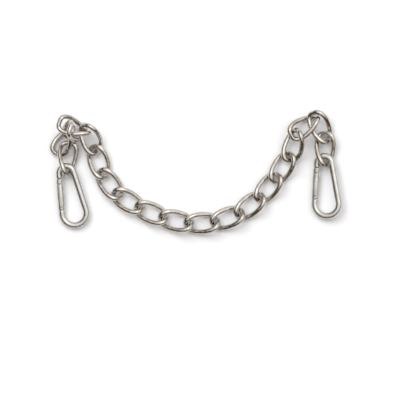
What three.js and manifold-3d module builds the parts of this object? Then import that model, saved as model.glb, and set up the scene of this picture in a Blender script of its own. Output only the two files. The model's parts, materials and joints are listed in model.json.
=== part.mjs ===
// A curb chain: nineteen twisted oval links of steel wire, with a spring snap hook at each end.
// Millimetres, +Z up. The chain lies on the plane Z = 0, with its middle over the origin.

import * as THREE from 'three';
import { mergeVertices } from 'three/addons/utils/BufferGeometryUtils.js';
import Module from 'manifold-3d';

const wasm = await Module();
wasm.setup();

// ---- driving dimensions -------------------------------------------------------------------

// Link: an oval of round wire, each end turned 45 degrees so that neighbours seat crosswise.
const LINK_WIRE = 3.0;
const LINK_HALF_LENGTH = 9.7; // to the centre of the wire
const LINK_HALF_WIDTH = 5.3; // to the centre of the wire
const LINK_END_TWIST = 45; // degrees, left-handed
const LINK_SQUARENESS = 3.0; // 2 is an ellipse, more is squarer
const LINK_STEPS = 28;
const LINK_SIDES = 8;

// Clearance between the wires of two links, and between any two touching pieces.
const GAP = 0.3;

// Snap hook: a pear-shaped wire body, seen from above with its eye at the top.
const HOOK_LENGTH = 40;
const HOOK_WIDTH = 18.6;
const HOOK_WIRE = 3.8;
const HOOK_STEPS = 38;
const HOOK_SIDES = 12;
const EYE_RADIUS = 4.5; // to the centre of the wire
const BOW_RADIUS = (HOOK_WIDTH - HOOK_WIRE) / 2;
const BOW_CENTRE_Y = -(HOOK_LENGTH - HOOK_WIRE - BOW_RADIUS);
const GATE_SIDE_X = -EYE_RADIUS;
const BOW_CENTRE_X = GATE_SIDE_X + BOW_RADIUS;

// Gate: a straight tube slotted at both ends, on a rivet near the eye.
const GATE_RADIUS = 2.1;
const GATE_SIDES = 12;
const PIVOT_Y = -9.6;
const NOSE_Y = -26.3; // end of the full-round nose of the body
const TONGUE_THICKNESS = 1.3;
const SLOT_WIDTH = TONGUE_THICKNESS + 2 * GAP;
const TONGUE_REACH = 1.6; // beyond the pivot, into the gate
const TONGUE_HALF_WIDTH = 1.5;
const PIVOT_SLOT_REACH = 2.6;
const RIVET_RADIUS = 0.7;
const RIVET_HEAD_RADIUS = 1.15;
const RIVET_HEAD_HEIGHT = 0.45;
const RIVET_CROWN_RADIUS = 0.69; // the flat on top of each rivet head
const RIVET_SIDES = 14;
const LATCH_PIN_RADIUS = 0.55;
const LATCH_PIN_X = 0.2; // from the gate's own axis, towards the inside of the hook
const LATCH_PIN_Y = -24.5;
const LATCH_TONGUE_TOP_Y = -22.9;
const LATCH_SLOT_TOP_Y = -22.4;
const PIN_SIDES = 12;
const PIN_RECESS = 0.1; // how far each end of the latch pin sits inside the gate

// Holes drilled for the rivet and for the pin, and how far a cutting tool runs past the metal.
const HOLE_SIDES = 16;
const PIN_HOLE_SIDES = 12;
const ROUND_END_SIDES = 24;
const TOOL_REACH = 3 * HOOK_WIRE;
const TONGUE_ROOT = 1; // how far each tongue runs back into the round wire

// Return spring and its plunger, in a bore along the gate.
const BORE_RADIUS = 1.2;
const BORE_END_Y = -20.4;
const BORE_SIDES = 10;
const PLUNGER_RADIUS = 0.85;
const PLUNGER_LENGTH = 2.6;
const PLUNGER_NOSE_LENGTH = 0.5;
const PLUNGER_NOSE_RADIUS = 0.51;
const PLUNGER_SIDES = 10;
const SPRING_RADIUS = 0.7;
const SPRING_WIRE = 0.36;
const SPRING_TURNS = 6;
const SPRING_STEPS_PER_TURN = 9;
const SPRING_SIDES = 5;

// The run of the chain that lies flat: the way each link points, in degrees, and how far its
// far joint hangs short of tight, in millimetres. Link 11 is the lowest of the curve.
const FLAT_HEIGHT = 3.6;
const MIDDLE_LINK = { number: 11, x: 3.3, y: -29.6 };
const FLAT_RUN = [
  { number: 6, heading: -73, slack: 0.9 },
  { number: 7, heading: -55, slack: 0.8 },
  { number: 8, heading: -31, slack: 0.2 },
  { number: 9, heading: -23, slack: 0.2 },
  { number: 10, heading: -13, slack: 0.2 },
  { number: 11, heading: 3, slack: 0.2 },
  { number: 12, heading: 19, slack: 0.3 },
  { number: 13, heading: 38, slack: 0.4 },
  { number: 14, heading: 51, slack: 1.3 },
  { number: 15, heading: 59, slack: 1.3 },
];

// The links that lie heaped on one another next to the hooks: centre, heading, then how far
// the far end is raised and how far the link is rolled about its own length, in degrees.
const HEAPED_LINKS = [
  { number: 1, at: [-77.8, 9.3, 5.1], heading: 86, tilt: -5, roll: 34 },
  { number: 2, at: [-79.6, 20.3, 4.5], heading: 56, tilt: 16, roll: -36 },
  { number: 3, at: [-75.9, 24.9, 13], heading: 84, tilt: 74, roll: 124 },
  { number: 4, at: [-73.6, 28.3, 10.1], heading: -18, tilt: -16, roll: -41 },
  { number: 5, at: [-63.6, 21.4, 6.9], heading: -69, tilt: -25, roll: 7 },
  { number: 16, at: [58.8, 17.1, 6], heading: 74, tilt: 18, roll: -16 },
  { number: 17, at: [65.1, 28.9, 6.4], heading: 35, tilt: -11, roll: -28 },
  { number: 18, at: [75, 28.4, 5.4], heading: -64, tilt: -10, roll: -7 },
  { number: 19, at: [77.9, 14.9, 4.5], heading: -90, tilt: 2, roll: -18 },
];

// The hooks: the middle of the wire at the top of the eye, the turn on the table, how far the
// slanted side leans up, and how far the eye end is raised on the link it holds.
const HOOKS = [
  { side: 'left', eye: [-78.9, 4.8, 5.3], turn: 4, lean: -4, rise: 5 },
  { side: 'right', eye: [77.7, 10.9, 4.7], turn: -4, lean: -12, rise: 3 },
];

// ---- materials ----------------------------------------------------------------------------

const nickel = new THREE.MeshStandardMaterial({ color: 0xb8b0a6, roughness: 0.18, metalness: 1 });
const darkNickel = new THREE.MeshStandardMaterial({ color: 0x9a938a, roughness: 0.3, metalness: 1 });
const springSteel = new THREE.MeshStandardMaterial({ color: 0x8d8d8c, roughness: 0.35, metalness: 1 });

// ---- shared helpers -----------------------------------------------------------------------

const radians = THREE.MathUtils.degToRad;
const WELD_DISTANCE = 0.01;

function polygon(radius, sides) {
  // A regular outline with one flat facing -X and, for an even count, another facing +X.
  const points = [];
  for (let i = 0; i < sides; i += 1) {
    const angle = ((i + 0.5) / sides) * 2 * Math.PI;
    points.push(new THREE.Vector2(radius * Math.cos(angle), radius * Math.sin(angle)));
  }
  return new THREE.Shape(points);
}

function positionOnly(geometry) {
  const plain = geometry.clone();
  plain.deleteAttribute('normal');
  plain.deleteAttribute('uv');
  return mergeVertices(plain, 1e-4);
}

function solid(geometry) {
  const merged = positionOnly(geometry);
  return new wasm.Manifold(new wasm.Mesh({
    numProp: 3,
    vertProperties: new Float32Array(merged.attributes.position.array),
    triVerts: new Uint32Array(merged.index.array),
  }));
}

function geometryOf(manifold) {
  const mesh = manifold.getMesh();
  const geometry = new THREE.BufferGeometry();
  geometry.setAttribute('position', new THREE.BufferAttribute(new Float32Array(mesh.vertProperties), 3));
  geometry.setIndex(new THREE.BufferAttribute(new Uint32Array(mesh.triVerts), 1));
  geometry.computeVertexNormals();
  return geometry;
}

function box(x0, x1, y0, y1, z0, z1) {
  const geometry = new THREE.BoxGeometry(x1 - x0, y1 - y0, z1 - z0);
  return geometry.translate((x0 + x1) / 2, (y0 + y1) / 2, (z0 + z1) / 2);
}

function rod(radius, length, sides) {
  // A round bar along Z, centred on the origin.
  return new THREE.CylinderGeometry(radius, radius, length, sides).rotateX(Math.PI / 2);
}

function barAlongY(radius, y0, y1, sides) {
  const geometry = new THREE.CylinderGeometry(radius, radius, y1 - y0, sides);
  return geometry.rotateY(Math.PI / sides).translate(0, (y0 + y1) / 2, 0);
}

// ---- links --------------------------------------------------------------------------------

function linkCentreLine() {
  const points = [];
  const power = 2 / LINK_SQUARENESS;
  for (let i = 0; i < LINK_STEPS; i += 1) {
    const angle = (i / LINK_STEPS) * 2 * Math.PI;
    const along = Math.cos(angle);
    const across = Math.sin(angle);
    const x = LINK_HALF_LENGTH * Math.sign(along) * Math.abs(along) ** power;
    const y = LINK_HALF_WIDTH * Math.sign(across) * Math.abs(across) ** power;
    const twist = radians(-LINK_END_TWIST * (x / LINK_HALF_LENGTH));
    points.push(new THREE.Vector3(x, y * Math.cos(twist), y * Math.sin(twist)));
  }
  return new THREE.CatmullRomCurve3(points, true);
}

function closedRing(geometry) {
  // The swept wire starts and ends on the same section. Its last corners are joined to its first
  // ones, and the two end faces, which then lie face to face, go.
  const corners = geometry.attributes.position;
  const here = new THREE.Vector3();
  const there = new THREE.Vector3();
  const joined = Array.from({ length: corners.count }, (_, i) => {
    here.fromBufferAttribute(corners, i);
    for (let j = 0; j < i; j += 1) {
      if (here.distanceTo(there.fromBufferAttribute(corners, j)) < WELD_DISTANCE) return j;
    }
    return i;
  });
  const triangles = [];
  for (let i = 0; i < geometry.index.count; i += 3) {
    triangles.push([0, 1, 2].map((corner) => joined[geometry.index.getX(i + corner)]));
  }
  const keyOf = (triangle) => [...triangle].sort((a, b) => a - b).join();
  const count = new Map();
  for (const triangle of triangles) count.set(keyOf(triangle), (count.get(keyOf(triangle)) ?? 0) + 1);
  geometry.setIndex(triangles.filter((triangle) => count.get(keyOf(triangle)) === 1).flat());
  geometry.computeVertexNormals();
  return geometry;
}

function linkGeometry() {
  const swept = new THREE.ExtrudeGeometry(polygon(LINK_WIRE / 2, LINK_SIDES), {
    steps: LINK_STEPS,
    extrudePath: linkCentreLine(),
  });
  return closedRing(positionOnly(swept));
}

function linkRotation(link) {
  const turn = new THREE.Matrix4().makeRotationZ(radians(link.heading));
  const tilt = new THREE.Matrix4().makeRotationY(-radians(link.tilt ?? 0));
  const roll = new THREE.Matrix4().makeRotationX(radians(link.roll ?? 0));
  return turn.multiply(tilt).multiply(roll);
}

function nextLinkCentre(from, here, there, slack, way) {
  // The next link's near end hangs inside this one's far end, half way between their headings.
  const ahead = (degrees) => new THREE.Vector2(Math.cos(radians(degrees)), Math.sin(radians(degrees)));
  const end = from.clone().addScaledVector(ahead(here), way * LINK_HALF_LENGTH);
  end.addScaledVector(ahead((here + there) / 2), -way * (LINK_WIRE + GAP + slack));
  return end.addScaledVector(ahead(there), way * LINK_HALF_LENGTH);
}

function flatLinks() {
  const middle = FLAT_RUN.findIndex((link) => link.number === MIDDLE_LINK.number);
  const centres = [];
  centres[middle] = new THREE.Vector2(MIDDLE_LINK.x, MIDDLE_LINK.y);
  for (let i = middle; i < FLAT_RUN.length - 1; i += 1) {
    const [here, there] = [FLAT_RUN[i], FLAT_RUN[i + 1]];
    centres[i + 1] = nextLinkCentre(centres[i], here.heading, there.heading, here.slack, 1);
  }
  for (let i = middle; i > 0; i -= 1) {
    const [here, there] = [FLAT_RUN[i], FLAT_RUN[i - 1]];
    centres[i - 1] = nextLinkCentre(centres[i], here.heading, there.heading, there.slack, -1);
  }
  return FLAT_RUN.map((link, i) => ({ ...link, at: [centres[i].x, centres[i].y, FLAT_HEIGHT] }));
}

function makeLinks() {
  const geometry = linkGeometry();
  return [...flatLinks(), ...HEAPED_LINKS].map((link) => {
    const mesh = new THREE.Mesh(geometry, nickel);
    mesh.name = `link_${String(link.number).padStart(2, '0')}`;
    mesh.position.set(...link.at);
    mesh.quaternion.setFromRotationMatrix(linkRotation(link));
    return mesh;
  });
}

// ---- snap hook ----------------------------------------------------------------------------

function hookCentreLine() {
  // From the nose, round the bow, up the slanted side and over the eye to the gate's pivot.
  const eye = new THREE.Vector2(0, -EYE_RADIUS);
  const bow = new THREE.Vector2(BOW_CENTRE_X, BOW_CENTRE_Y);
  const apart = bow.clone().sub(eye);
  const slant = apart.angle() + Math.acos((EYE_RADIUS - BOW_RADIUS) / apart.length());
  const outline = new THREE.Path();
  outline.moveTo(GATE_SIDE_X, NOSE_Y);
  outline.lineTo(GATE_SIDE_X, BOW_CENTRE_Y);
  outline.absarc(bow.x, bow.y, BOW_RADIUS, Math.PI, slant, false);
  outline.absarc(eye.x, eye.y, EYE_RADIUS, slant, Math.PI, false);
  outline.lineTo(GATE_SIDE_X, PIVOT_Y + GATE_RADIUS + GAP);
  const points = outline.getSpacedPoints(HOOK_STEPS * 2);
  return new THREE.CatmullRomCurve3(points.map((point) => new THREE.Vector3(point.x, point.y, 0)));
}

function tongue(y0, y1) {
  const half = TONGUE_THICKNESS / 2;
  const left = GATE_SIDE_X - TONGUE_HALF_WIDTH;
  return solid(box(left, left + 2 * TONGUE_HALF_WIDTH, y0, y1, -half, half));
}

function hookBodyGeometry() {
  const wire = new THREE.ExtrudeGeometry(polygon(HOOK_WIRE / 2, HOOK_SIDES), {
    steps: HOOK_STEPS,
    extrudePath: hookCentreLine(),
  });
  const pivotTongue = tongue(PIVOT_Y - TONGUE_REACH, PIVOT_Y + GATE_RADIUS + TONGUE_ROOT);
  const latchTongue = tongue(NOSE_Y - TONGUE_ROOT, LATCH_TONGUE_TOP_Y);
  const rivetHole = rod(RIVET_RADIUS + GAP, HOOK_WIRE, HOLE_SIDES).translate(GATE_SIDE_X, PIVOT_Y, 0);
  const notchHalf = LATCH_PIN_RADIUS + GAP;
  const pinX = GATE_SIDE_X + LATCH_PIN_X;
  const notchLow = LATCH_PIN_Y - notchHalf;
  const notch = box(pinX - notchHalf, 0, notchLow, notchLow + 2 * notchHalf, -HOOK_WIRE, HOOK_WIRE);
  const body = solid(wire).add(pivotTongue).add(latchTongue);
  return geometryOf(body.subtract(solid(rivetHole)).subtract(solid(notch)));
}

function gateGeometry() {
  // Modelled about the gate's own axis, which is then moved to the gate side of the hook.
  const end = NOSE_Y + GAP;
  const tube = solid(barAlongY(GATE_RADIUS, end, PIVOT_Y, GATE_SIDES));
  const roundEnd = solid(barAlongY(GATE_RADIUS, PIVOT_Y - GATE_RADIUS / 2, PIVOT_Y + GATE_RADIUS, GATE_SIDES))
    .intersect(solid(rod(GATE_RADIUS, TOOL_REACH, ROUND_END_SIDES).translate(0, PIVOT_Y, 0)));
  const half = SLOT_WIDTH / 2;
  const reach = 2 * GATE_RADIUS;
  const pivotSlot = solid(box(-reach, reach, PIVOT_Y - PIVOT_SLOT_REACH, reach, -half, half));
  const latchSlot = solid(box(-reach, reach, 2 * NOSE_Y, LATCH_SLOT_TOP_Y, -half, half));
  const boreTop = PIVOT_Y - PIVOT_SLOT_REACH + GAP;
  const bore = solid(barAlongY(BORE_RADIUS, BORE_END_Y, boreTop, BORE_SIDES));
  const rivetHole = solid(rod(RIVET_RADIUS + GAP / 2, TOOL_REACH, HOLE_SIDES).translate(0, PIVOT_Y, 0));
  const pinHole = solid(rod(LATCH_PIN_RADIUS + GAP / 2, TOOL_REACH, PIN_HOLE_SIDES)
    .translate(LATCH_PIN_X, LATCH_PIN_Y, 0));
  const cuts = [pivotSlot, latchSlot, bore, rivetHole, pinHole];
  const gate = cuts.reduce((shape, cut) => shape.subtract(cut), tube.add(roundEnd));
  return geometryOf(gate).translate(GATE_SIDE_X, 0, 0);
}

function rivetGeometry() {
  const reach = GATE_RADIUS + GAP / 2;
  const top = reach + RIVET_HEAD_HEIGHT;
  const profile = [
    [0, -top], [RIVET_CROWN_RADIUS, -top], [RIVET_HEAD_RADIUS, -reach], [RIVET_RADIUS, -reach],
    [RIVET_RADIUS, reach], [RIVET_HEAD_RADIUS, reach], [RIVET_CROWN_RADIUS, top], [0, top],
  ].map(([x, y]) => new THREE.Vector2(x, y));
  return new THREE.LatheGeometry(profile, RIVET_SIDES).rotateX(Math.PI / 2).translate(GATE_SIDE_X, PIVOT_Y, 0);
}

function latchPinGeometry() {
  const pin = rod(LATCH_PIN_RADIUS, 2 * (GATE_RADIUS - PIN_RECESS), PIN_SIDES);
  return pin.translate(GATE_SIDE_X + LATCH_PIN_X, LATCH_PIN_Y, 0);
}

const PLUNGER_TOP_Y = PIVOT_Y - TONGUE_REACH - GAP;

function plungerGeometry() {
  const bottom = -PLUNGER_LENGTH;
  const profile = [
    [0, bottom], [PLUNGER_RADIUS, bottom], [PLUNGER_RADIUS, -PLUNGER_NOSE_LENGTH],
    [PLUNGER_NOSE_RADIUS, 0], [0, 0],
  ].map(([x, y]) => new THREE.Vector2(x, y));
  return new THREE.LatheGeometry(profile, PLUNGER_SIDES).translate(GATE_SIDE_X, PLUNGER_TOP_Y, 0);
}

class Helix extends THREE.Curve {
  constructor(radius, turns, start, end) {
    super();
    Object.assign(this, { radius, turns, start, end });
  }

  getPoint(t, target = new THREE.Vector3()) {
    const angle = t * this.turns * 2 * Math.PI;
    const y = THREE.MathUtils.lerp(this.start, this.end, t);
    return target.set(this.radius * Math.cos(angle), y, this.radius * Math.sin(angle));
  }
}

function springGeometry() {
  const start = PLUNGER_TOP_Y - PLUNGER_LENGTH - GAP - SPRING_WIRE / 2;
  const end = BORE_END_Y + GAP + SPRING_WIRE / 2;
  const coil = new THREE.ExtrudeGeometry(polygon(SPRING_WIRE / 2, SPRING_SIDES), {
    steps: SPRING_TURNS * SPRING_STEPS_PER_TURN,
    extrudePath: new Helix(SPRING_RADIUS, SPRING_TURNS, start, end),
  });
  return coil.translate(GATE_SIDE_X, 0, 0);
}

function makeHook(hook) {
  const group = new THREE.Group();
  const pieces = [
    ['hook_body', hookBodyGeometry(), nickel],
    ['gate', gateGeometry(), nickel],
    ['gate_rivet', rivetGeometry(), darkNickel],
    ['latch_pin', latchPinGeometry(), darkNickel],
    ['gate_plunger', plungerGeometry(), springSteel],
    ['gate_spring', springGeometry(), springSteel],
  ];
  for (const [name, geometry, material] of pieces) {
    const mesh = new THREE.Mesh(geometry, material);
    mesh.name = `${hook.side}_${name}`;
    group.add(mesh);
  }
  group.position.set(...hook.eye);
  group.rotation.set(radians(hook.rise), radians(hook.lean), radians(hook.turn), 'ZYX');
  return group;
}

// ---- the whole chain ----------------------------------------------------------------------

function makeCurbChain() {
  const chain = new THREE.Group();
  chain.add(...makeLinks(), ...HOOKS.map(makeHook));
  chain.updateMatrixWorld(true);
  const bounds = new THREE.Box3().setFromObject(chain, true);
  const middle = bounds.getCenter(new THREE.Vector3());
  chain.position.set(-middle.x, -middle.y, -bounds.min.z);
  return chain;
}

const curbChain = new THREE.Group();
curbChain.add(makeCurbChain());

export default curbChain;
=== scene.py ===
"""The look of a curb chain: nineteen twisted links of plated wire and two spring snap hooks.

The chain's own sizes, below, are in millimetres; materials and the studio are in metres. Places come
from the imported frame: each link's from its CAD node, each hook's from the axes of its gate hinge and
of its plunger. Each place is a matrix that also turns millimetres into the frame's metres.
"""

import json
import math
import random

import bpy
import numpy as np
from mathutils import Matrix, Vector


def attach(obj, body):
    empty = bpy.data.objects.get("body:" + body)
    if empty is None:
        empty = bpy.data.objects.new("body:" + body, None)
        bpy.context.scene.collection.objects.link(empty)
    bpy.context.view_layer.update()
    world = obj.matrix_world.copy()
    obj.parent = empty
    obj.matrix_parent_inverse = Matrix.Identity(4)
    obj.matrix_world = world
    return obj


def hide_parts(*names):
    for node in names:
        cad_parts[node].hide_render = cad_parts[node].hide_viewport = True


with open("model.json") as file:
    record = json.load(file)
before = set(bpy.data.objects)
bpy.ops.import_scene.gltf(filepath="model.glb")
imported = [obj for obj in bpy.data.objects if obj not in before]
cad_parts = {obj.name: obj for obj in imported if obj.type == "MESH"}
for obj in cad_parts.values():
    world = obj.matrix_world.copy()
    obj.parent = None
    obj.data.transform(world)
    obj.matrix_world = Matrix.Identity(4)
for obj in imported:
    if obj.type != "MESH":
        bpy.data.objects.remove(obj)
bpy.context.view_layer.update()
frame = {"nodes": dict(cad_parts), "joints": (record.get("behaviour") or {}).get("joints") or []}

MM = 0.001
SIDES = ("left", "right")
LINK_COUNT = 19

# ---- sizes, in millimetres ------------------------------------------------------------------

# Link: an oval of round wire whose two ends are twisted to opposite sides.
LINK_WIRE_RADIUS = 1.5
HEAPED_WIRE_RADIUS = 1.42  # the first links lie so close that full round wire would touch
TIGHT_LINKS = 5
LINK_HALF_LENGTH = 9.7
LINK_HALF_WIDTH = 5.3
LINK_END_TWIST = math.radians(45)
LINK_SQUARENESS = 3.0
LINK_STEPS = 120
LINK_SIDES = 20
WELD_COLLAR = 0.045  # how far the butt weld fills the wire out, as a share of the wire's radius
WELD_GROOVE = 0.06  # how deep the line at the weld cuts into that, in the same share
WELD_LENGTH = 1.1  # how far the filling runs from the weld
WELD_GROOVE_WIDTH = 0.22  # as a share of that
WELD_SPREAD = 0.8  # how far along its side a weld may lie from the link's middle
WIRE_WOBBLE = 0.008
SEAT_LENGTH = 1.2  # the worn stretch inside each end
SEAT_REACH = 2.4

# Snap hook, in its own plane: eye at the top, body towards -Y, gate on the -X side.
EYE_RADIUS = 4.5
BOW_RADIUS = 7.4
HOOK_WIRE_RADIUS = 1.9
BOW_CENTRE = (2.9, -28.8)
GATE_X = -4.5
PIVOT_Y = -9.6
NOSE_Y = -26.3
TONGUE_HALF_THICKNESS = 0.65
TONGUE_HALF_WIDTH = 1.5
PIVOT_SHOULDER_Y = -7.2
PIVOT_TONGUE_END_Y = -11.2
LATCH_TONGUE_END_Y = -22.9
TONGUE_ROUNDING = 0.9  # how far the pivot tongue's rounded end runs back
SHOULDER_LENGTH = 0.5
SHOULDER_STEP = 0.08
HOOK_SPACING = 0.45
HOOK_SIDES = 32

# Gate, rivet, latch pin, plunger and spring.
GATE_RADIUS = 2.1
GATE_END_Y = -26.0
SLOT_HALF_WIDTH = 0.95
PIVOT_SLOT_END_Y = -12.2
LATCH_SLOT_END_Y = -22.4
BORE_RADIUS = 1.2
BORE_END_Y = -20.4
SEAM_WIDTH = 0.5
SEAM_DEPTH = 0.45
SEAM_X = 0.1
SEAM_INSET = 0.5
RIVET_RADIUS = 0.7
RIVET_HEAD_RADIUS = 1.15
RIVET_HEAD_HEIGHT = 0.45
RIVET_REACH = 2.25
PIN_RADIUS = 0.55
PIN_HALF_LENGTH = 2.0
PIN_X = -4.3
PIN_Y = -24.5
CLEARANCE = 0.3
EDGE = 0.25
PIN_EDGE = 0.15
GATE_SIDES = 48
HOLE_SIDES = 32
TOOL_REACH = 5.0  # how far a cutting tool runs past the middle of what it cuts
PLUNGER_TOP_Y = -11.5
PLUNGER_LENGTH = 2.6
PLUNGER_RADIUS = 0.85
SPRING_RADIUS = 0.7
SPRING_WIRE_RADIUS = 0.18
SPRING_TURNS = 6
SPRING_START_Y = PLUNGER_TOP_Y - PLUNGER_LENGTH - CLEARANCE - SPRING_WIRE_RADIUS
SPRING_END_Y = BORE_END_Y + CLEARANCE + SPRING_WIRE_RADIUS
SPRING_STEPS_PER_TURN = 24

ALONG = Matrix.Identity(3)  # leaves a turned piece lying along the gate
UPRIGHT = Matrix.Rotation(math.pi / 2, 3, "X")  # stands it square to the hook's plane


# ---- where things are -----------------------------------------------------------------------


def joint(name):
    return next(j for j in frame["joints"] if j["name"] == name)


def hook_place(side):
    """The matrix that carries millimetres in the hook's own plane to the frame."""
    swing = joint(f"{side}_gate_swing")
    up = Vector(swing["axis"]).normalized()
    along = -Vector(joint(f"{side}_plunger_slide")["axis"]).normalized()
    across = along.cross(up).normalized()
    along = up.cross(across)
    turn = Matrix((across, along, up)).transposed()
    origin = Vector(swing["pos_m"]) - turn @ Vector((GATE_X, PIVOT_Y, 0)) * MM
    return Matrix.Translation(origin) @ turn.to_4x4() @ Matrix.Scale(MM, 4)


def link_place(node):
    """The same for a link: its middle and its three axes, longest first, from the CAD node."""
    corners = np.array([v.co for v in frame["nodes"][node].data.vertices])
    corners = np.unique(np.round(corners, 7), axis=0)
    middle = corners.mean(axis=0)
    _, axes = np.linalg.eigh(np.cov((corners - middle).T))
    along = Vector(axes[:, 2])
    across = Vector(axes[:, 1])
    if along.x < 0:
        along.negate()
    if across.y < 0:
        across.negate()
    turn = Matrix((along, across, along.cross(across))).transposed()
    return Matrix.Translation(Vector(middle)) @ turn.to_4x4() @ Matrix.Scale(MM, 4)


# ---- mesh helpers ---------------------------------------------------------------------------


def new_object(name, corners, faces, place=None):
    """A piece in its place, or still in millimetres about its own origin if place is left out."""
    mesh = bpy.data.meshes.new(name)
    mesh.from_pydata([tuple(c) for c in corners], [], faces)
    if place:
        mesh.transform(place)
    mesh.validate()
    mesh.shade_smooth()
    piece = bpy.data.objects.new(name, mesh)
    bpy.context.collection.objects.link(piece)
    return piece


def section(half_across, half_up, squareness, sides):
    """A closed outline between a circle (squareness 2) and a rounded box (8)."""
    angle = np.arange(sides) / sides * 2 * np.pi
    power = 2 / squareness
    across = half_across * np.sign(np.cos(angle)) * np.abs(np.cos(angle)) ** power
    up = half_up * np.sign(np.sin(angle)) * np.abs(np.sin(angle)) ** power
    return np.stack([across, up], axis=1)


def sweep(path, ups, sections, closed):
    """Corners and faces of outlines carried along a path; ups says which way is up at each point."""
    path = np.asarray(path, float)
    count, sides = len(path), len(sections[0])
    if closed:
        ahead = np.roll(path, -1, axis=0) - np.roll(path, 1, axis=0)
    else:
        ahead = np.gradient(path, axis=0)
    ahead /= np.linalg.norm(ahead, axis=1)[:, None]
    across = np.cross(ahead, ups)
    across /= np.linalg.norm(across, axis=1)[:, None]
    up = np.cross(across, ahead)
    corners = []
    for i in range(count):
        for u, v in sections[i]:
            corners.append(path[i] + across[i] * u + up[i] * v)
    faces = []
    for i in range(count if closed else count - 1):
        here, there = i * sides, (i + 1) % count * sides
        for k in range(sides):
            n = (k + 1) % sides
            faces.append((here + k, there + k, there + n, here + n))
    if not closed:
        faces.append(tuple(range(sides)))
        faces.append(tuple(range(count * sides - 1, (count - 1) * sides - 1, -1)))
    return corners, faces


def lathe(profile, sides):
    """A turned solid about Y. The profile is (radius, y), rising from one end on the axis to the other."""
    path = [(0, y, 0) for _, y in profile]
    corners = []
    for radius, y in profile[1:-1]:
        for k in range(sides):
            angle = k / sides * 2 * math.pi
            corners.append((radius * math.cos(angle), y, -radius * math.sin(angle)))
    faces = []
    rings = len(profile) - 2
    for i in range(rings - 1):
        for k in range(sides):
            n = (k + 1) % sides
            faces.append((i * sides + k, i * sides + n, (i + 1) * sides + n, (i + 1) * sides + k))
    bottom, top = len(corners), len(corners) + 1
    corners += [path[0], path[-1]]
    last = (rings - 1) * sides
    for k in range(sides):
        n = (k + 1) % sides
        faces.append((bottom, n, k))
        faces.append((top, last + k, last + n))
    return corners, faces


def turned(corners, turn, shift=(0, 0, 0)):
    return [turn @ Vector(c) + Vector(shift) for c in corners]


def bar(radius, low, high, sides, bevel=0.0):
    """A round bar along Y, its ends rounded over by bevel."""
    profile = [(0, low), (radius - bevel, low)]
    for step in range(1, 5 if bevel else 0):
        angle = step / 4 * math.pi / 2
        profile.append((radius - bevel + bevel * math.sin(angle), low + bevel - bevel * math.cos(angle)))
    upper = [(r, low + high - y) for r, y in reversed(profile)]
    return lathe(profile + upper, sides)


def block(low, high):
    corners = [(x, y, z) for x in (low[0], high[0]) for y in (low[1], high[1]) for z in (low[2], high[2])]
    faces = [(0, 1, 3, 2), (4, 6, 7, 5), (0, 4, 5, 1), (2, 3, 7, 6), (0, 2, 6, 4), (1, 5, 7, 3)]
    return corners, faces


def cut(piece, cutters, operation="DIFFERENCE"):
    """Cuts each (corners, faces) from the piece, or keeps what is common to both."""
    for corners, faces in cutters:
        tool = new_object("tool", corners, faces)
        step = piece.modifiers.new("cut", "BOOLEAN")
        step.operation = operation
        step.solver = "EXACT"
        step.object = tool
        apply_modifiers(piece)
        bpy.data.objects.remove(tool)


def apply_modifiers(piece):
    graph = bpy.context.evaluated_depsgraph_get()
    made = bpy.data.meshes.new_from_object(piece.evaluated_get(graph))
    piece.modifiers.clear()
    old = piece.data
    piece.data = made
    bpy.data.meshes.remove(old)


def soften_edges(piece, width, angle=40):
    """Asks for a small rounded edge at each corner. On the gate almost none of it comes out."""
    step = piece.modifiers.new("edges", "BEVEL")
    step.width = width
    step.segments = 2
    step.limit_method = "ANGLE"
    step.angle_limit = math.radians(angle)
    step.use_clamp_overlap = True
    apply_modifiers(piece)
    piece.data.shade_smooth()
    piece.data.set_sharp_from_angle(angle=math.radians(angle))


def mark(piece, name, amount):
    """Stores a number from 0 to 1 at each corner, for the material to read."""
    layer = piece.data.attributes.new(name, "FLOAT", "POINT")
    layer.data.foreach_set("value", amount)


# ---- materials ------------------------------------------------------------------------------

# Clean metal and what it tarnishes to.
WARM_NICKEL = (0.60, 0.565, 0.525)
BROWN_TARNISH = (0.38, 0.33, 0.28)
GREY_PLATE = (0.61, 0.595, 0.565)
GREY_TARNISH = (0.44, 0.42, 0.385)
PIN_PLATE = (0.54, 0.51, 0.48)
PIN_TARNISH = (0.34, 0.30, 0.26)
STEEL = (0.48, 0.48, 0.48)
STEEL_TARNISH = (0.30, 0.29, 0.28)

# Two pale greys that the table's colour drifts between.
TABLE_COLOURS = ((0.66, 0.665, 0.68), (0.68, 0.68, 0.69))

# Painted shade: the metal's colour darkens towards a dark brown wherever another surface is within this
# reach, in metres, in crevices and between parts.
PAINTED_SHADE_REACH = 0.002
PAINTED_SHADE_COLOUR = (0.13, 0.10, 0.075)

# The Scale of each pattern in the metal, on coordinates in metres: the larger, the finer.
CLOUD_SCALE = 160
DENT_SCALE = 420
SPECKLE_SCALE = 2200
SCRATCH_SCALE = 900

# How far the dents and marks stand out at full strength, in metres.
DENT_DEPTH = 0.0002


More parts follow.
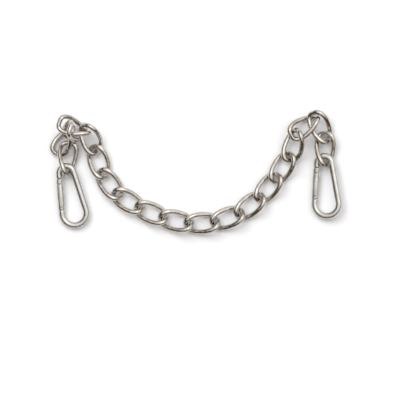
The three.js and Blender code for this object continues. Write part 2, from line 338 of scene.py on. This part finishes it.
class Nodes:
    """A thin shorthand for building a node tree."""

    def __init__(self, owner):
        owner.use_nodes = True
        self.tree = owner.node_tree
        self.tree.nodes.clear()

    def add(self, kind, **settings):
        node = self.tree.nodes.new(kind)
        for key, value in settings.items():
            setattr(node, key, value)
        return node

    def link(self, source, target):
        self.tree.links.new(source, target)

    def noise(self, vector, scale, detail=3.0, roughness=0.5):
        node = self.add("ShaderNodeTexNoise")
        node.inputs["Scale"].default_value = scale
        node.inputs["Detail"].default_value = detail
        node.inputs["Roughness"].default_value = roughness
        self.link(vector, node.inputs["Vector"])
        return node.outputs["Fac"]

    def remap(self, value, low, high, to_low, to_high):
        node = self.add("ShaderNodeMapRange")
        for key, number in zip(("From Min", "From Max", "To Min", "To Max"), (low, high, to_low, to_high)):
            node.inputs[key].default_value = number
        self.link(value, node.inputs["Value"])
        return node.outputs["Result"]

    def math(self, operation, first, second):
        node = self.add("ShaderNodeMath", operation=operation)
        for socket, value in zip(node.inputs, (first, second)):
            if isinstance(value, (int, float)):
                socket.default_value = value
            else:
                self.link(value, socket)
        return node.outputs["Value"]

    def mix(self, factor, first, second):
        node = self.add("ShaderNodeMix", data_type="RGBA")
        self.link(factor, node.inputs[0])
        for socket, value in zip((node.inputs[6], node.inputs[7]), (first, second)):
            if isinstance(value, tuple):
                socket.default_value = (*value, 1)
            else:
                self.link(value, socket)
        return node.outputs[2]


def worn_metal(name, bright, dull, roughness, unevenness, rub=False):
    """Worn metal: cloudy tarnish, fine draw marks, small dents, and painted shade in crevices."""
    material = bpy.data.materials.new(name)
    nodes = Nodes(material)
    place = nodes.add("ShaderNodeTexCoord").outputs["Object"]
    cloud = nodes.noise(place, CLOUD_SCALE, 4, 0.6)
    speckle = nodes.noise(place, SPECKLE_SCALE, 2, 0.5)
    dents = nodes.noise(place, DENT_SCALE, 2, 0.4)
    scratches = nodes.add("ShaderNodeTexWave", wave_type="BANDS", bands_direction="DIAGONAL")
    scratches.inputs["Scale"].default_value = SCRATCH_SCALE
    scratches.inputs["Distortion"].default_value = 14
    scratches.inputs["Detail"].default_value = 3
    nodes.link(place, scratches.inputs["Vector"])

    tarnish = nodes.remap(cloud, 0.5, 0.75, 0.0, 0.6)
    if rub:
        seat = nodes.add("ShaderNodeAttribute", attribute_name="seat").outputs["Fac"]
        tarnish = nodes.math("MAXIMUM", tarnish, nodes.math("MULTIPLY", seat, 0.25))
    colour = nodes.mix(tarnish, bright, dull)
    speckled = nodes.remap(speckle, 0.35, 0.65, 0.0, 0.12)
    colour = nodes.mix(speckled, colour, dull)
    # Painted shade: the colour darkens where other surfaces are close, in crevices and between touching
    # parts.
    closeness = nodes.add("ShaderNodeAmbientOcclusion", samples=8)
    closeness.inputs["Distance"].default_value = PAINTED_SHADE_REACH
    painted_shade = nodes.remap(closeness.outputs["AO"], 0.15, 0.75, 0.9, 0.0)
    colour = nodes.mix(painted_shade, colour, PAINTED_SHADE_COLOUR)
    clouded = nodes.remap(cloud, 0.3, 0.7, roughness * 0.7, roughness * 1.4)
    scratched = nodes.remap(scratches.outputs["Fac"], 0.6, 1.0, 0.0, 0.05)
    rough = nodes.math("ADD", clouded, scratched)
    height = nodes.math("ADD", dents, nodes.math("MULTIPLY", speckle, 0.12))
    height = nodes.math("ADD", height, nodes.math("MULTIPLY", scratches.outputs["Fac"], 0.03))
    bump = nodes.add("ShaderNodeBump")
    bump.inputs["Strength"].default_value = unevenness
    bump.inputs["Distance"].default_value = DENT_DEPTH
    nodes.link(height, bump.inputs["Height"])

    surface = nodes.add("ShaderNodeBsdfPrincipled")
    surface.inputs["Metallic"].default_value = 1.0
    nodes.link(colour, surface.inputs["Base Color"])
    nodes.link(rough, surface.inputs["Roughness"])
    nodes.link(bump.outputs["Normal"], surface.inputs["Normal"])
    nodes.link(surface.outputs["BSDF"], nodes.add("ShaderNodeOutputMaterial").inputs["Surface"])
    return material


def table_top():
    material = bpy.data.materials.new("table_top")
    nodes = Nodes(material)
    place = nodes.add("ShaderNodeTexCoord").outputs["Object"]
    surface = nodes.add("ShaderNodeBsdfPrincipled")
    grain = nodes.remap(nodes.noise(place, 30), 0.3, 0.7, 0.0, 1.0)
    nodes.link(nodes.mix(grain, *TABLE_COLOURS), surface.inputs["Base Color"])
    surface.inputs["Roughness"].default_value = 0.9
    surface.inputs["Specular IOR Level"].default_value = 0.0
    surface.inputs["Emission Color"].default_value = (1, 1, 1, 1)
    surface.inputs["Emission Strength"].default_value = TABLE_GLOW
    nodes.link(surface.outputs["BSDF"], nodes.add("ShaderNodeOutputMaterial").inputs["Surface"])
    return material


# ---- pieces ---------------------------------------------------------------------------------


def finish_piece(piece, material, slot, body, *nodes):
    piece.data.materials.clear()
    piece.data.materials.append(material)
    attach(piece, body)
    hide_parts(*nodes)
    return piece


def oval(squareness, count):
    """Points evenly spaced round an oval between an ellipse (2) and a rectangle."""
    angle = np.linspace(0, 2 * np.pi, 40 * count + 1)
    power = 2 / squareness
    x = LINK_HALF_LENGTH * np.sign(np.cos(angle)) * np.abs(np.cos(angle)) ** power
    y = LINK_HALF_WIDTH * np.sign(np.sin(angle)) * np.abs(np.sin(angle)) ** power
    run = np.concatenate([[0], np.cumsum(np.hypot(np.diff(x), np.diff(y)))])
    stops = np.arange(count) / count * run[-1]
    return np.interp(stops, run, x), np.interp(stops, run, y)


def link_wire(chance, radius):
    """Centre line, which way is up, and outlines of one link."""
    x, y = oval(LINK_SQUARENESS, LINK_STEPS)
    twist = -LINK_END_TWIST * x / LINK_HALF_LENGTH
    path = np.stack([x, y * np.cos(twist), y * np.sin(twist)], axis=1)
    ups = np.stack([0 * x, -np.sin(twist), np.cos(twist)], axis=1)
    weld = math.copysign(1, chance.random() - 0.6)
    from_weld = np.abs(x - chance.uniform(-WELD_SPREAD, WELD_SPREAD)) / WELD_LENGTH
    from_weld = np.where(y * weld > 0, from_weld, 99)
    phase = chance.uniform(0, 2 * math.pi)
    angle = np.arange(LINK_STEPS) / LINK_STEPS * 2 * np.pi
    swell = 1 + WIRE_WOBBLE * (np.sin(3 * angle + phase) + 0.6 * np.sin(8 * angle + 2 * phase))
    groove = WELD_GROOVE * np.exp(-((from_weld / WELD_GROOVE_WIDTH) ** 2))
    swell += WELD_COLLAR * np.exp(-(from_weld**4)) - groove
    swell = np.minimum(swell, 1)  # nowhere thicker than plain wire
    outlines = [section(radius * s, radius * s, 2, LINK_SIDES) for s in swell]
    return path, ups, outlines


def make_link(number, material):
    """One link, with a number at each corner that says how worn its seat is there."""
    node = f"link_{number:02d}"
    chance = random.Random(number)
    place = link_place(node)
    radius = HEAPED_WIRE_RADIUS if number <= TIGHT_LINKS else LINK_WIRE_RADIUS
    path, ups, outlines = link_wire(chance, radius)
    corners, faces = sweep(path, ups, outlines, closed=True)
    piece = new_object(f"{node}_wire", corners, faces, place)
    corners = np.array(corners)
    inner = LINK_HALF_LENGTH - LINK_WIRE_RADIUS * 0.4
    from_seat = np.abs(np.abs(corners[:, 0]) - inner + LINK_WIRE_RADIUS)
    worn = np.clip(1.6 - from_seat / SEAT_LENGTH, 0, 1)
    worn *= np.clip(1.3 - np.hypot(corners[:, 1], corners[:, 2]) / SEAT_REACH, 0, 1)
    mark(piece, "seat", worn)
    return finish_piece(piece, material, "plated_steel", node, node)


def arc(centre, radius, start, end, spacing):
    count = max(2, round(abs(end - start) * radius / spacing))
    return [(centre[0] + radius * math.cos(a), centre[1] + radius * math.sin(a))
            for a in np.linspace(start, end, count, endpoint=False)]


def line(start, end, spacing):
    count = max(1, round(math.dist(start, end) / spacing))
    return [tuple(np.array(start) + (np.array(end) - np.array(start)) * i / count) for i in range(count)]


def gate_side(start, end, spacing):
    return line((GATE_X, start), (GATE_X, end), spacing)


def hook_path():
    """From the latch tongue's tip, round the bow, up the slanted side and over the eye to the pivot."""
    eye = (0, -EYE_RADIUS)
    apart = np.array(BOW_CENTRE) - np.array(eye)
    slant = math.atan2(apart[1], apart[0]) + math.acos((EYE_RADIUS - BOW_RADIUS) / np.hypot(*apart))
    aside = np.array((math.cos(slant), math.sin(slant)))
    slant = math.remainder(slant, 2 * math.pi)
    bow_side = tuple(np.array(BOW_CENTRE) + BOW_RADIUS * aside)
    eye_side = tuple(np.array(eye) + EYE_RADIUS * aside)
    fine = SHOULDER_LENGTH / 4
    path = gate_side(LATCH_TONGUE_END_Y, LATCH_TONGUE_END_Y - SHOULDER_LENGTH, fine)
    path += gate_side(LATCH_TONGUE_END_Y - SHOULDER_LENGTH, NOSE_Y + 0.1, HOOK_SPACING)
    path += gate_side(NOSE_Y + 0.1, NOSE_Y - SHOULDER_LENGTH, fine / 2)
    path += gate_side(NOSE_Y - SHOULDER_LENGTH, BOW_CENTRE[1], HOOK_SPACING)
    path += arc(BOW_CENTRE, BOW_RADIUS, math.pi, slant + 2 * math.pi, HOOK_SPACING)
    path += line(bow_side, eye_side, HOOK_SPACING)
    path += arc(eye, EYE_RADIUS, slant, math.pi, HOOK_SPACING)
    path += gate_side(-EYE_RADIUS, PIVOT_SHOULDER_Y + SHOULDER_LENGTH, HOOK_SPACING)
    path += gate_side(PIVOT_SHOULDER_Y + SHOULDER_LENGTH, PIVOT_SHOULDER_Y - 0.1, fine / 2)
    path += gate_side(PIVOT_SHOULDER_Y - 0.1, PIVOT_TONGUE_END_Y + TONGUE_ROUNDING, HOOK_SPACING)
    path += gate_side(PIVOT_TONGUE_END_Y + TONGUE_ROUNDING, PIVOT_TONGUE_END_Y, fine)
    return np.array([(x, y, 0) for x, y in path] + [(GATE_X, PIVOT_TONGUE_END_Y, 0)])


def hook_sections(path):
    """Round wire, forged down to a flat tongue at both ends.

    Each key is how far along the wire, half the width, half the thickness and the squareness.
    """
    run = np.concatenate([[0], np.cumsum(np.linalg.norm(np.diff(path, axis=0), axis=1))])
    nose = LATCH_TONGUE_END_Y - NOSE_Y
    tongue = PIVOT_SHOULDER_Y - PIVOT_TONGUE_END_Y
    end = run[-1]
    full, flat, wide = HOOK_WIRE_RADIUS, TONGUE_HALF_THICKNESS, TONGUE_HALF_WIDTH
    keys = [
        (0, wide - 0.35, flat - 0.2, 5),
        (0.3, wide, flat, 6),
        (nose, wide, flat, 6),
        (nose + SHOULDER_STEP, full - EDGE, full - EDGE, 2.1),
        (nose + SHOULDER_LENGTH, full, full, 2),
        (end - tongue - SHOULDER_LENGTH, full, full, 2),
        (end - tongue - SHOULDER_STEP, full - EDGE, full - EDGE, 2.1),
        (end - tongue, wide, flat, 6),
        (end - TONGUE_ROUNDING, wide, flat, 6),
        (end - 0.3, wide - 0.3, flat, 5),
        (end, wide - 0.8, flat - 0.2, 5),
    ]
    at = [key[0] for key in keys]
    columns = [np.interp(run, at, [key[i] for key in keys]) for i in (1, 2, 3)]
    return [section(a, u, s, HOOK_SIDES) for a, u, s in zip(*columns)]


def drill(radius, x, y):
    """A tool for a round hole through the hook, square to its plane."""
    corners, faces = bar(radius, -TOOL_REACH, TOOL_REACH, HOLE_SIDES)
    return turned(corners, UPRIGHT, (x, y, 0)), faces


def make_hook_body(side, place, material):
    path = hook_path()
    ups = np.tile((0.0, 0.0, 1.0), (len(path), 1))
    corners, faces = sweep(path, ups, hook_sections(path), closed=False)
    piece = new_object(f"{side}_hook_wire", corners, faces)
    half = PIN_RADIUS + CLEARANCE
    notch = block((PIN_X - half, PIN_Y - half, -TOOL_REACH), (0, PIN_Y + half, TOOL_REACH))
    cut(piece, [drill(RIVET_RADIUS + CLEARANCE, GATE_X, PIVOT_Y), notch])
    piece.data.transform(place)
    piece.data.shade_smooth()
    piece.data.set_sharp_from_angle(angle=math.radians(45))
    return finish_piece(piece, material, "plated_steel", f"{side}_hook", f"{side}_hook_body")


def gate_shell():
    """A round bar, its pivot end rounded again in the plane of the hook."""
    corners, faces = bar(GATE_RADIUS, GATE_END_Y, PIVOT_Y + GATE_RADIUS, GATE_SIDES, bevel=EDGE)
    piece = new_object("gate", turned(corners, ALONG, (GATE_X, 0, 0)), faces)
    outline = [(GATE_X + TOOL_REACH, 2 * GATE_END_Y), (GATE_X + TOOL_REACH, PIVOT_Y)]
    for angle in np.linspace(0, math.pi, GATE_SIDES // 2 + 1):
        outline.append((GATE_X + GATE_RADIUS * math.cos(angle), PIVOT_Y + GATE_RADIUS * math.sin(angle)))
    outline += [(GATE_X - TOOL_REACH, PIVOT_Y), (GATE_X - TOOL_REACH, 2 * GATE_END_Y)]
    count = len(outline)
    keep = [(x, y, z) for z in (-TOOL_REACH, TOOL_REACH) for x, y in outline]
    sides = [(i, (i + 1) % count, count + (i + 1) % count, count + i) for i in range(count)]
    sides += [tuple(range(count - 1, -1, -1)), tuple(range(count, 2 * count))]
    cut(piece, [(keep, sides)], "INTERSECT")
    return piece


def make_gate(side, place, material):
    """The gate's bar: slotted at each end, drilled for the spring and both pins, grooved at its seam."""
    piece = gate_shell()
    piece.name = f"{side}_gate_bar"
    left, right, half = GATE_X - TOOL_REACH, GATE_X + TOOL_REACH, SLOT_HALF_WIDTH
    pivot_slot = block((left, PIVOT_SLOT_END_Y, -half), (right, 0, half))
    latch_slot = block((left, 2 * NOSE_Y, -half), (right, LATCH_SLOT_END_Y, half))
    bore, bore_faces = bar(BORE_RADIUS, BORE_END_Y, PIVOT_SLOT_END_Y + CLEARANCE, HOLE_SIDES)
    bore = turned(bore, ALONG, (GATE_X, 0, 0))
    rivet_hole = drill(RIVET_RADIUS + CLEARANCE / 2, GATE_X, PIVOT_Y)
    pin_hole = drill(PIN_RADIUS + CLEARANCE / 2, PIN_X, PIN_Y)
    seam = block((GATE_X - SEAM_X - SEAM_WIDTH, LATCH_SLOT_END_Y + SEAM_INSET, GATE_RADIUS - SEAM_DEPTH),
                 (GATE_X - SEAM_X, PIVOT_SLOT_END_Y - SEAM_INSET, TOOL_REACH))
    cut(piece, [pivot_slot, latch_slot, (bore, bore_faces), rivet_hole, pin_hole, seam])
    soften_edges(piece, EDGE / 2, 50)
    piece.data.transform(place)
    return finish_piece(piece, material, "plated_steel", f"{side}_gate", f"{side}_gate")


def dome(radius, base, height, steps=5):
    """Profile of a rivet head that starts at base on its rim and rises by height at the middle."""
    angles = np.linspace(0, math.pi / 2, steps, endpoint=False)
    return [(radius * math.cos(a), base + height * math.sin(a)) for a in angles]


def make_rivet(side, place, material):
    head = dome(RIVET_HEAD_RADIUS, RIVET_REACH, RIVET_HEAD_HEIGHT)
    half = [(RIVET_RADIUS, 0), (RIVET_RADIUS, RIVET_REACH), (RIVET_HEAD_RADIUS, RIVET_REACH)] + head[1:]
    half.append((0, RIVET_REACH + RIVET_HEAD_HEIGHT))
    profile = [(r, -y) for r, y in reversed(half[1:])] + half[1:]
    corners, faces = lathe(profile, 32)
    corners = turned(corners, UPRIGHT, (GATE_X, PIVOT_Y, 0))
    piece = new_object(f"{side}_rivet", corners, faces, place)
    piece.data.set_sharp_from_angle(angle=math.radians(50))
    return finish_piece(piece, material, "pin_steel", f"{side}_hook", f"{side}_gate_rivet")


def make_latch_pin(side, place, material):
    corners, faces = bar(PIN_RADIUS, -PIN_HALF_LENGTH, PIN_HALF_LENGTH, 24, bevel=PIN_EDGE)
    corners = turned(corners, UPRIGHT, (PIN_X, PIN_Y, 0))
    piece = new_object(f"{side}_pin", corners, faces, place)
    return finish_piece(piece, material, "pin_steel", f"{side}_gate", f"{side}_latch_pin")


def make_plunger(side, place, material):
    low, rim = -PLUNGER_LENGTH, PLUNGER_RADIUS
    tail = [(0, low), (rim - 0.1, low), (rim, low + 0.1)]
    nose = [(rim, -0.5), (rim * 0.85, -0.2), (rim * 0.55, 0), (0, 0)]
    profile = tail + nose
    corners, faces = lathe(profile, 24)
    corners = turned(corners, ALONG, (GATE_X, PLUNGER_TOP_Y, 0))
    piece = new_object(f"{side}_plunger_pin", corners, faces, place)
    piece.data.set_sharp_from_angle(angle=math.radians(50))
    return finish_piece(piece, material, "spring_steel", f"{side}_plunger", f"{side}_gate_plunger")


def make_spring(side, place, material):
    share = np.linspace(0, 1, SPRING_TURNS * SPRING_STEPS_PER_TURN + 1)
    angle = share * SPRING_TURNS * 2 * np.pi
    y = SPRING_START_Y + share * (SPRING_END_Y - SPRING_START_Y)
    path = np.stack([GATE_X + SPRING_RADIUS * np.cos(angle), y, SPRING_RADIUS * np.sin(angle)], axis=1)
    ups = np.tile((0.0, 1.0, 0.0), (len(path), 1))
    outline = section(SPRING_WIRE_RADIUS, SPRING_WIRE_RADIUS, 2, 10)
    corners, faces = sweep(path, ups, [outline] * len(path), closed=False)
    piece = new_object(f"{side}_spring_coil", corners, faces, place)
    return finish_piece(piece, material, "spring_steel", f"{side}_gate", f"{side}_gate_spring")


# ---- studio ---------------------------------------------------------------------------------

VIEW_WIDTH = 0.2424
VIEW_CENTRE = (0.0026, -0.0169)
CAMERA_HEIGHT = 2.0
TABLE_GLOW = 0.05
ROOM_BRIGHTNESS = 1.45
TABLE_SIZE = 8.0
KEY_PLACE = (-0.7, 0.8, 1.4)
KEY_SIZE = 1.3
KEY_POWER = 28
WINDOW_SIDE = (0.3, 0.35, 1)

# The room's brightness from its walls up to its ceiling.
ROOM_TONES = [
    (0.0, (0.06, 0.045, 0.03)),
    (0.34, (0.06, 0.045, 0.035)),
    (0.50, (0.40, 0.375, 0.35)),
    (0.72, (0.78, 0.765, 0.75)),
    (0.95, (0.92, 0.92, 0.91)),
    (1.0, (2.4, 2.4, 2.4)),
]


def make_table():
    half = TABLE_SIZE / 2
    corners = [(-half, -half, 0), (half, -half, 0), (half, half, 0), (-half, half, 0)]
    table = new_object("table", corners, [(0, 1, 2, 3)], Matrix.Identity(4))
    table.data.materials.append(table_top())


def make_camera():
    camera = bpy.data.cameras.new("camera")
    camera.lens = camera.sensor_width / VIEW_WIDTH * CAMERA_HEIGHT
    camera.clip_start = 0.05
    camera.clip_end = 50
    eye = bpy.data.objects.new("camera", camera)
    eye.location = (*VIEW_CENTRE, CAMERA_HEIGHT)
    bpy.context.collection.objects.link(eye)
    bpy.context.scene.camera = eye


def soft_light(name, spot, size, power):
    """A square lamp aimed at the chain. It lights the table and isn't seen in the metal."""
    lamp = bpy.data.lights.new(name, "AREA")
    lamp.shape = "SQUARE"
    lamp.size = size
    lamp.energy = power
    light = bpy.data.objects.new(name, lamp)
    light.location = spot
    light.rotation_mode = "QUATERNION"
    light.rotation_quaternion = (-Vector(spot)).to_track_quat("-Z", "Y")
    light.visible_glossy = False
    bpy.context.collection.objects.link(light)


def make_room():
    """A pale ceiling, brightest on the window side, over dark walls that the wire shows as lines."""
    world = bpy.data.worlds.new("room")
    bpy.context.scene.world = world
    nodes = Nodes(world)
    towards = nodes.add("ShaderNodeVectorMath", operation="DOT_PRODUCT")
    towards.inputs[1].default_value = Vector(WINDOW_SIDE).normalized()
    nodes.link(nodes.add("ShaderNodeTexCoord").outputs["Generated"], towards.inputs[0])
    ramp = nodes.add("ShaderNodeValToRGB")
    ramp.color_ramp.elements[0].position = ROOM_TONES[0][0]
    ramp.color_ramp.elements[1].position = ROOM_TONES[-1][0]
    for height, _ in ROOM_TONES[1:-1]:
        ramp.color_ramp.elements.new(height)
    for element, (_, colour) in zip(ramp.color_ramp.elements, ROOM_TONES):
        element.color = (*colour, 1)
    nodes.link(towards.outputs["Value"], ramp.inputs["Fac"])
    back = nodes.add("ShaderNodeBackground")
    back.inputs["Strength"].default_value = ROOM_BRIGHTNESS
    nodes.link(ramp.outputs["Color"], back.inputs["Color"])
    nodes.link(back.outputs["Background"], nodes.add("ShaderNodeOutputWorld").inputs["Surface"])


# ---- build ----------------------------------------------------------------------------------

make_camera()
link_plate = worn_metal("nickel_plate", WARM_NICKEL, BROWN_TARNISH, 0.08, 1.0, rub=True)
hook_plate = worn_metal("hook_plate", GREY_PLATE, GREY_TARNISH, 0.27, 0.2)
pin_plate = worn_metal("pin_plate", PIN_PLATE, PIN_TARNISH, 0.24, 0.3)
bare_steel = worn_metal("bare_steel", STEEL, STEEL_TARNISH, 0.3, 0.3)

for number in range(1, LINK_COUNT + 1):
    make_link(number, link_plate)
for side in SIDES:
    where = hook_place(side)
    make_hook_body(side, where, hook_plate)
    make_gate(side, where, hook_plate)
    make_rivet(side, where, pin_plate)
    make_latch_pin(side, where, pin_plate)
    make_plunger(side, where, bare_steel)
    make_spring(side, where, bare_steel)

make_table()
make_room()
soft_light("key", KEY_PLACE, KEY_SIZE, KEY_POWER)
bpy.context.scene.view_settings.view_transform = "Standard"
